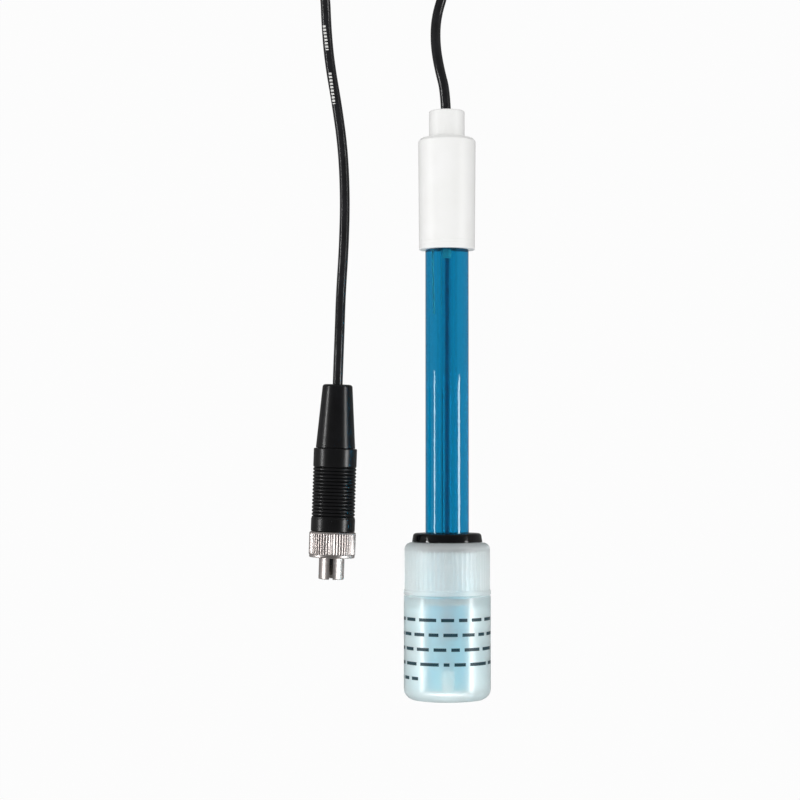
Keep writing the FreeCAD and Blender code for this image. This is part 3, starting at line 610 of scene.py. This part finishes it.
def coil_points():
    """The turns of the put-away coil: one layer winds in on the surface, and one winds out on top of it."""
    total = COIL_TURNS * 360 + COIL_END - COIL_START
    layer = (COIL_OUTER - COIL_INNER) / CORD_DIAMETER * 360
    step = 360 / POINTS_PER_TURN
    outside = 1 / math.cos(math.pi / POINTS_PER_TURN)
    points = []
    for number in range(int(total / step) + 1):
        turned_by = number * step
        left = total - turned_by
        radius = max(COIL_INNER, COIL_OUTER - CORD_DIAMETER * min(turned_by, left) / 360)
        climb = min(1, max(0, (turned_by - layer) / (total - 2 * layer)))
        angle = COIL_START + turned_by
        from_tie = (angle - TIE_AT + 180) % 360 - 180
        lift = TIE_LIFT * math.exp(-(from_tie / TIE_LIFT_ANGLE) ** 2)
        height = CORD_DIAMETER * (0.5 + climb * climb * (3 - 2 * climb)) + lift
        x = COIL_CENTRE[0] + radius * outside * math.cos(math.radians(angle))
        y = COIL_CENTRE[1] + radius * outside * math.sin(math.radians(angle))
        points.append(Vector((x, y, height)) * MM)
    return points


def make_lead(material):
    """The lead: one curve from inside the head, out through its neck, round the coil and into the plug."""
    neck_top = reach("head_cap", ELECTRODE)[1]
    boot_top = reach("strain_relief", PLUG)[1]
    clamp_low = reach("cable_clamp", PLUG)[0]
    points = [ELECTRODE @ Vector((0, 0, height)) for height in (neck_top - REACH_IN_HEAD,
                                                                neck_top + STRAIGHT_FROM_HEAD)]
    points += [Vector(p) * MM for p in HEAD_ROUTE] + coil_points() + [Vector(p) * MM for p in PLUG_ROUTE]
    points += [PLUG @ Vector((0, 0, height)) for height in (boot_top + STRAIGHT_FROM_BOOT,
                                                            clamp_low - REACH_IN_CLAMP)]
    curve = bpy.data.curves.new("lead", "CURVE")
    curve.dimensions = "3D"
    curve.bevel_depth = CORD_DIAMETER / 2 * MM
    curve.bevel_resolution = 6
    curve.resolution_u = 8
    curve.use_fill_caps = True
    spline = curve.splines.new("NURBS")
    spline.points.add(len(points) - 1)
    for target, point in zip(spline.points, points):
        target.co = (*point, 1)
    spline.order_u = 3
    spline.use_endpoint_u = True
    lead = bpy.data.objects.new("lead", curve)
    bpy.context.scene.collection.objects.link(lead)
    curve.materials.append(material)
    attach(lead, "electrode")
    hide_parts("cord_run_head", "cord_run_plug", "cord_coil")
    return lead


# Electrode pieces
HEAD_NECK = 7.7
HEAD_LINES = (1.3, 2.3)
HEAD_LINE_DEPTH, HEAD_LINE_HALF = 0.067, 0.13


def make_head(material):
    """Head cap with its cable neck, hollow over the tube's end, with two fine moulded lines near its edge."""
    base, neck_top, radius = reach("head_cap", ELECTRODE)
    tube_top = reach("body_tube", ELECTRODE)[1]
    top = neck_top - HEAD_NECK
    socket, bore, neck, skirt = 6.03, 1.43, 4.95, 7.757
    corners = [(socket, base), (7.75, base, 0.15)]
    for line in HEAD_LINES:
        corners += [(skirt, base + line - HEAD_LINE_HALF), (skirt - HEAD_LINE_DEPTH, base + line),
                    (skirt, base + line + HEAD_LINE_HALF)]
    corners += [(radius, top - 0.8, 0.12), (radius - 0.8, top, 0.2), (neck, top, 0.1), (neck, neck_top, 0.4),
                (bore + 0.5, neck_top, 0.1), (bore, neck_top - 0.5), (bore, top - 5), (5, top - 5),
                (5, tube_top + 0.1), (socket, tube_top + 0.1)]
    head = turned("head", corners)
    return finish_piece(head, ELECTRODE, material, "electrode", "head_plastic", "head_cap")


# Width and length of the guard's slots
GUARD_SLOT = (3.2, 5.6)


def make_shaft(material, bore_material):
    """Clear tube whose tip is a guard with four open slots, its bore in the material that meets the gel."""
    low, high, radius = reach("body_tube", ELECTRODE)
    bore = radius - 1.2
    shaft = turned("shaft", [(bore, low, 0.3), (radius, low, 0.4), (radius, high, 0.1), (bore, high, 0.1)])
    width, height = GUARD_SLOT
    for size in ((width, 3 * radius, 2 * height), (3 * radius, width, 2 * height)):
        combine(shaft, box_tool(size, (0, 0, low)), "DIFFERENCE")
    shaft.data.materials.append(material)
    line_bore(shaft, bore_material, bore + 0.05)
    let_light_through(shaft)
    return finish_piece(shaft, ELECTRODE, material, "electrode", "shaft_plastic", "body_tube")


def make_stem(material, bore_material):
    """Glass stem, closed and rounded at the tip round the platinum pin, its dry bore in plain glass."""
    low, high, radius = reach("glass_stem", ELECTRODE)
    bore, pin_hole = radius - 0.7, 0.53
    stem = turned("stem", [(pin_hole, low, 0.1), (radius, low, 1.1), (radius, high), (bore, high),
                           (bore, low + 4, 0.9), (pin_hole, low + 3)])
    stem.data.materials.append(material)
    line_bore(stem, bore_material, bore + 0.05)
    let_light_through(stem)
    return finish_piece(stem, ELECTRODE, material, "electrode", "stem_glass", "glass_stem")


def make_potting(material):
    """Ring of resin that closes the tube round the stem, its lower skin sagging toward the stem."""
    low, high, radius = reach("potting", ELECTRODE)
    bore = 2.03
    corners = [(bore, low - 0.4, 0.4), (bore + 1.4, low, 0.5), (radius, low + 1.2), (radius, high),
               (bore, high)]
    potting = turned("potting_seal", corners)
    return finish_piece(potting, ELECTRODE, material, "electrode", "potting_resin", "potting")


BOTTLE_THREAD_TURNS, CAP_THREAD_TURNS = 1.75, 1.5
BOTTLE_THREAD_FROM_RIM = 4.6
THREAD_HEIGHT, THREAD_WIDTH = 0.42, 1.1


def make_bottle(material):
    """Storage bottle: a hollow foot, a straight side, a shoulder just under the cap, and a threaded neck."""
    rim, radius = reach("storage_bottle", ELECTRODE)[1:]
    shoulder = reach("bottle_cap", ELECTRODE)[0] - 0.2
    neck, wall, foot = 9.9, 1.0, 0.8
    mouth, side = neck - 1.2, radius - wall
    corners = [(0, foot), (6.4, foot, 0.5), (8.0, 0, 0.5), (radius, 0, 3.0), (radius, shoulder, 0.4),
               (neck, shoulder, 0.15), (neck, rim, 0.35), (mouth, rim, 0.35), (mouth, shoulder - 0.5, 0.6),
               (side, shoulder - 2.7, 0.8), (side, foot + wall, 2.0), (0, foot + wall)]
    bottle = turned("bottle", corners)
    start = rim - BOTTLE_THREAD_FROM_RIM
    thread = helix_ridge("bottle_thread", neck, THREAD_HEIGHT, THREAD_WIDTH, BOTTLE_THREAD_TURNS, start)
    combine(bottle, thread, "UNION")
    let_light_through(bottle)
    return finish_piece(bottle, ELECTRODE, material, "bottle", "bottle_plastic", "storage_bottle")


CAP_RIBS = 60
RIB_STEPS = 6
CAP_RIB_DEPTH = 0.16


def make_cap(material):
    """Screw cap: fine ribs on its side, a lip at its lower edge, a hole for the seal, and a thread inside."""
    low, high, radius = reach("bottle_cap", ELECTRODE)
    side, inner, hole, roof = radius - 0.25, radius - 1.6, 7.85, high - 1.3
    lip = low + 1.1
    steps = CAP_RIBS * RIB_STEPS
    corners = [(inner, low, 0.15), (radius, low, 0.2), (radius, lip, 0.15), (side, lip + 0.25),
               (side, lip + 0.6), (side, high - 2.4), (side, high - 1.95), (side, high, 1.85),
               (hole, high, 0.15), (hole, roof), (inner, roof, 0.3)]
    cap = turned("cap", corners, steps)
    push_in(cap, steps, RIB_STEPS, (0, 1), side - 0.05, lip + 0.4, high - 2.2, (side - CAP_RIB_DEPTH) / side)
    rim = reach("storage_bottle", ELECTRODE)[1]
    start = rim - BOTTLE_THREAD_FROM_RIM - THREAD_PITCH / 2
    thread = helix_ridge("cap_thread", inner, -THREAD_HEIGHT, THREAD_WIDTH, CAP_THREAD_TURNS, start)
    combine(cap, thread, "UNION")
    let_light_through(cap)
    return finish_piece(cap, ELECTRODE, material, "cap", "cap_plastic", "bottle_cap")


def make_seal(material):
    """Stepped rubber seal that grips the shaft: a flange under the cap's roof, a waist and a rounded rim."""
    low, high, radius = reach("rubber_seal", ELECTRODE)
    bore = reach("body_tube", ELECTRODE)[2] + 0.05
    flange, waist = 9.6, 7.8
    roof, under = low + 1.2, high - 2.5
    corners = [(bore, low), (flange, low, 0.3), (flange, roof, 0.2), (waist, roof), (waist, under),
               (radius, under, 0.25), (radius - 0.4, high, 0.7), (bore + 0.35, high, 0.3),
               (bore, high - 0.3, 0.1)]
    seal = turned("seal", corners)
    return finish_piece(seal, ELECTRODE, material, "seal", "seal_rubber", "rubber_seal")


# Plug pieces
# Width and length of the key slot
KEY_SLOT = (1.0, 6.6)


def make_ferrule(material):
    """Plug ferrule: a thin sleeve with a flange that holds the nut, and a key slot at its mouth."""
    low, high, root = reach("ferrule", PLUG)
    flange = reach("coupling_nut", PLUG)[1] - 1.85
    outer, bore, flange_radius, root_low = 3.55, 3.05, 4.4, high - 6.2
    corners = [(bore, low, 0.15), (outer, low, 0.25), (outer, flange - 1.2), (flange_radius, flange - 1.2),
               (flange_radius, flange), (outer, flange), (outer, root_low), (root, root_low), (root, high),
               (bore, high)]
    ferrule = turned("plug_ferrule", corners)
    width, length = KEY_SLOT
    combine(ferrule, box_tool((width, 5, 2 * length), (0, -3.4, 0)), "DIFFERENCE")
    return finish_piece(ferrule, PLUG, material, "electrode", "nickel_plate", "ferrule")


KNURLS = 48
KNURL_STEPS = 6
# The steps of each knurl that are pressed in, with their depth in mm: a groove with sloping sides
KNURL_GROOVE = (((0,), 0.2), ((1, 5), 0.14), ((2, 4), 0.03))


def make_nut(material):
    """Coupling nut: straight knurls, a plain band at its open end, and an inward lip behind the flange."""
    low, high, radius = reach("coupling_nut", PLUG)
    bore, hole, lip, band = 4.85, 3.6, high - 1.8, radius - 0.15
    steps = KNURLS * KNURL_STEPS
    corners = [(bore, low, 0.3), (band, low, 0.25), (band, low + 0.8, 0.1), (radius, low + 0.95),
               (radius, low + 1.2), (radius, high - 0.75), (radius, high - 0.5),
               (radius - 0.4, high - 0.05, 0.2), (hole, high), (hole, lip), (bore, lip, 0.2)]
    nut = turned("plug_nut", corners, steps)
    for deep, depth in KNURL_GROOVE:
        factor = (radius - depth) / radius
        push_in(nut, steps, KNURL_STEPS, deep, radius - 0.05, low + 1.1, high - 0.6, factor)
    return finish_piece(nut, PLUG, material, "nut", "nickel_plate", "coupling_nut")


SHELL_RINGS = 15
RING_PITCH = 0.965
# Width and depth of a groove between rings
RING_GROOVE = (0.5, 0.4)


def make_shell(material):
    """Plug shell: a plain band, then rounded rings with grooves between them, bored for nut and boot."""
    low, high, radius = reach("plug_shell", PLUG)
    side, band = radius - 0.1, low + 3.5
    socket, bore, boot_bore, step = 4.63, 4.2, 3.2, low + 6.23
    width, depth = RING_GROOVE
    corners = [(socket, low), (radius, low, 0.12), (radius, band, 0.15), (side, band + 0.05)]
    for ring in range(SHELL_RINGS):
        groove = band + 0.44 + ring * RING_PITCH
        corners += [(side, groove, 0.2), (side - depth, groove + width / 2, 0.04),
                    (side, groove + width, 0.2)]
    corners += [(side, high, 0.35), (boot_bore, high), (boot_bore, high - 3), (bore, high - 3), (bore, step),
                (socket, step)]
    shell = turned("plug_shell_ribbed", corners)
    return finish_piece(shell, PLUG, material, "electrode", "shell_plastic", "plug_shell")


def make_boot(material):
    """Tapered boot round the lead, with a spigot and a barb that sit inside the shell."""
    low, high = reach("strain_relief", PLUG)[:2]
    seat = reach("plug_shell", PLUG)[1] + 0.03
    bore, spigot, lower, upper = 1.43, 3.17, 5.5, 4.15
    corners = [(bore, low), (3.9, low), (3.9, low + 1), (spigot, low + 1), (spigot, seat), (lower, seat, 0.2),
               (lower - 0.03, seat + 0.5), (upper, high, 0.7), (bore + 0.5, high, 0.2), (bore, high - 0.5)]
    boot = turned("boot", corners)
    return finish_piece(boot, PLUG, material, "electrode", "boot_rubber", "strain_relief")


# Tie round the stored turns
def make_tie(material):
    """Strap round one side of the coil: a closed band with rounded corners, in mm in the frame itself."""
    low, high = (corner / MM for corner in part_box("cord_tie"))
    width, thickness, turn = high.x - low.x, 0.35, 1.1
    inset = thickness / 2
    corners = [(low.y + inset, low.z + inset, turn), (high.y - inset, low.z + inset, turn),
               (high.y - inset, high.z - inset, turn), (low.y + inset, high.z - inset, turn)]
    tie = draw_line("tie", corners, True, plane=(1, 2))
    bpy.ops.mesh.select_all(action="SELECT")
    bpy.ops.transform.translate(value=(low.x, 0, 0))
    bpy.ops.mesh.extrude_region_move(TRANSFORM_OT_translate={"value": (width, 0, 0)})
    bpy.ops.mesh.select_all(action="SELECT")
    bpy.ops.mesh.normals_make_consistent(inside=False)
    bpy.ops.object.mode_set(mode="OBJECT")
    apply_modifier(tie, "SOLIDIFY", thickness=thickness, offset=0)
    return finish_piece(tie, Matrix.Scale(MM, 4), material, "electrode", "tie_plastic", "cord_tie")


# Floor, light and background
# The share of white glow in the floor, against its grey paint, as the camera sees it, and how much of that
# share gloss sees
FLOOR_GLOW, FLOOR_GLOW_MIRRORED = 0.97, 0.08


def make_floor():
    """A grey floor that takes shadows, and that camera, gloss and clear plastic see as mostly white."""
    bpy.ops.object.select_all(action="DESELECT")
    bpy.ops.mesh.primitive_plane_add(size=6, location=(0, 0, -0.0001))
    floor = bpy.context.object
    floor.name = "floor"
    material = bpy.data.materials.new("pale_floor")
    material.use_nodes = True
    material.node_tree.nodes.clear()
    rays = add(material, "ShaderNodeLightPath")
    mirrored = add(material, "ShaderNodeMath", {"operation": "MULTIPLY_ADD", 1: FLOOR_GLOW_MIRRORED},
                   {0: rays.outputs["Is Glossy Ray"], 2: rays.outputs["Is Camera Ray"]})
    glow = add(material, "ShaderNodeEmission", {"Color": (1, 1, 1, 1), "Strength": 1.0})
    paint = add(material, "ShaderNodeBsdfDiffuse", {"Color": colour("#707070")})
    direct = add(material, "ShaderNodeMath", {"operation": "MULTIPLY", 1: FLOOR_GLOW},
                 {0: mirrored.outputs[0]})
    share = add(material, "ShaderNodeMath", {"operation": "MAXIMUM"},
                {0: direct.outputs[0], 1: rays.outputs["Is Transmission Ray"]})
    mix = add(material, "ShaderNodeMixShader",
              links={"Fac": share.outputs[0], 1: paint.outputs[0], 2: glow.outputs[0]})
    add(material, "ShaderNodeOutputMaterial", links={"Surface": mix.outputs[0]})
    floor.data.materials.append(material)


# Lamps, in metres and watts: the place, what it faces, the size, the power, and whether gloss shows it. The
# side strips draw the long white lines on shaft and bottle, and the rear ones the seal's two small lights.
LAMPS = (
    ("overhead", (-0.42, -0.1, 0.95), (0, 0, 0), (1.0, 1.0), 3.7, False),
    ("front_panel", (0, -1.6, 0.2), (0, -0.08, 0.01), (1.0, 0.3), 8.0, False),
    ("left_strip", (-2.85, -0.22, 0.94), (0, -0.22, 0), (0.80, 0.42), 11.5, True),
    ("left_rear_strip", (-2.85, 0.56, 0.94), (0, 0.56, 0), (0.18, 0.42), 6.0, True),
    ("right_strip", (2.70, -0.22, 1.26), (0, -0.22, 0), (0.80, 0.60), 17.0, True),
    ("right_rear_strip", (2.70, 0.56, 1.26), (0, 0.56, 0), (0.18, 0.60), 5.0, True),
)
# The room, as two pairs of how high a direction points and the grey seen there, and how many times brighter
# it is to matt surfaces
ROOM_LOW, ROOM_HIGH = (0.25, 0.25), (0.85, 0.1)
FILL = 4.3


def area_light(name, place, target, size, power, glossy):
    """An area light that faces its target, never seen by the camera itself."""
    data = bpy.data.lights.new(name, "AREA")
    data.shape = "RECTANGLE"
    data.size, data.size_y = size
    data.energy = power
    light = bpy.data.objects.new(name, data)
    bpy.context.scene.collection.objects.link(light)
    light.location = place
    light.rotation_euler = (Vector(place) - Vector(target)).to_track_quat("Z", "Y").to_euler()
    light.visible_camera = False
    light.visible_glossy = glossy


def make_room():
    """A world that the camera sees as white, and the surfaces as a grey room that is darker overhead."""
    world = bpy.data.worlds.new("studio")
    bpy.context.scene.world = world
    world.use_nodes = True
    world.node_tree.nodes.clear()
    rays = add(world, "ShaderNodeLightPath")
    where = add(world, "ShaderNodeTexCoord")
    height = add(world, "ShaderNodeSeparateXYZ", links={"Vector": where.outputs["Generated"]})
    ramp = add(world, "ShaderNodeValToRGB", links={"Fac": height.outputs["Z"]})
    for element, (level, grey) in zip(ramp.color_ramp.elements, (ROOM_LOW, ROOM_HIGH)):
        element.position = level
        element.color = (grey, grey, grey, 1)
    matt = add(world, "ShaderNodeMath", {"operation": "MULTIPLY_ADD", 1: FILL - 1, 2: 1.0},
               {0: rays.outputs["Is Diffuse Ray"]})
    room = add(world, "ShaderNodeBackground",
               links={"Color": ramp.outputs["Color"], "Strength": matt.outputs[0]})
    white = add(world, "ShaderNodeBackground", {"Color": (1, 1, 1, 1), "Strength": 1.0})
    shader = add(world, "ShaderNodeMixShader",
                 links={"Fac": rays.outputs["Is Camera Ray"], 1: room.outputs[0], 2: white.outputs[0]})
    add(world, "ShaderNodeOutputWorld", links={"Surface": shader.outputs[0]})


# Making
make_camera()
metal = bright_nickel()
lead = make_lead(extruded_black_pvc())
tie = make_tie(woven_nylon())
make_head(moulded_white_abs())
make_shaft(extruded_blue_acrylic(), extruded_blue_acrylic("blue_acrylic_against_gel", GEL_INDEX))
make_stem(drawn_glass("drawn_glass_in_gel", GEL_INDEX), drawn_glass())
make_potting(cast_epoxy())
make_bottle(blown_polyethylene())
make_cap(moulded_polyethylene())
make_seal(moulded_black_rubber())
ferrule = make_ferrule(metal)
nut = make_nut(metal)
shell = make_shell(moulded_black_abs())
boot = make_boot(moulded_black_pvc())

# Nodes that keep their own shape
wire = bright_wire()
insulation = extruded_insulation()
KEPT_NODES = {
    "end_bush": moulded_grey_plastic(), "reference_junction": fired_ceramic(), "platinum_pin": wire,
    "stem_lead": extruded_blue_insulation(), "reference_wire": wire, "signal_lead": insulation,
    "reference_lead": insulation, "stem_seal": milky_epoxy(), "contact_insert": moulded_black_nylon(),
    "contact_pins": dull_nickel(), "cable_clamp": metal, "plug_leads": insulation,
}
for node, material in KEPT_NODES.items():
    frame["nodes"][node].data.materials.clear()
    frame["nodes"][node].data.materials.append(material)

make_floor()
for lamp in LAMPS:
    area_light(*lamp)
make_room()
bpy.context.scene.view_settings.view_transform = "Standard"
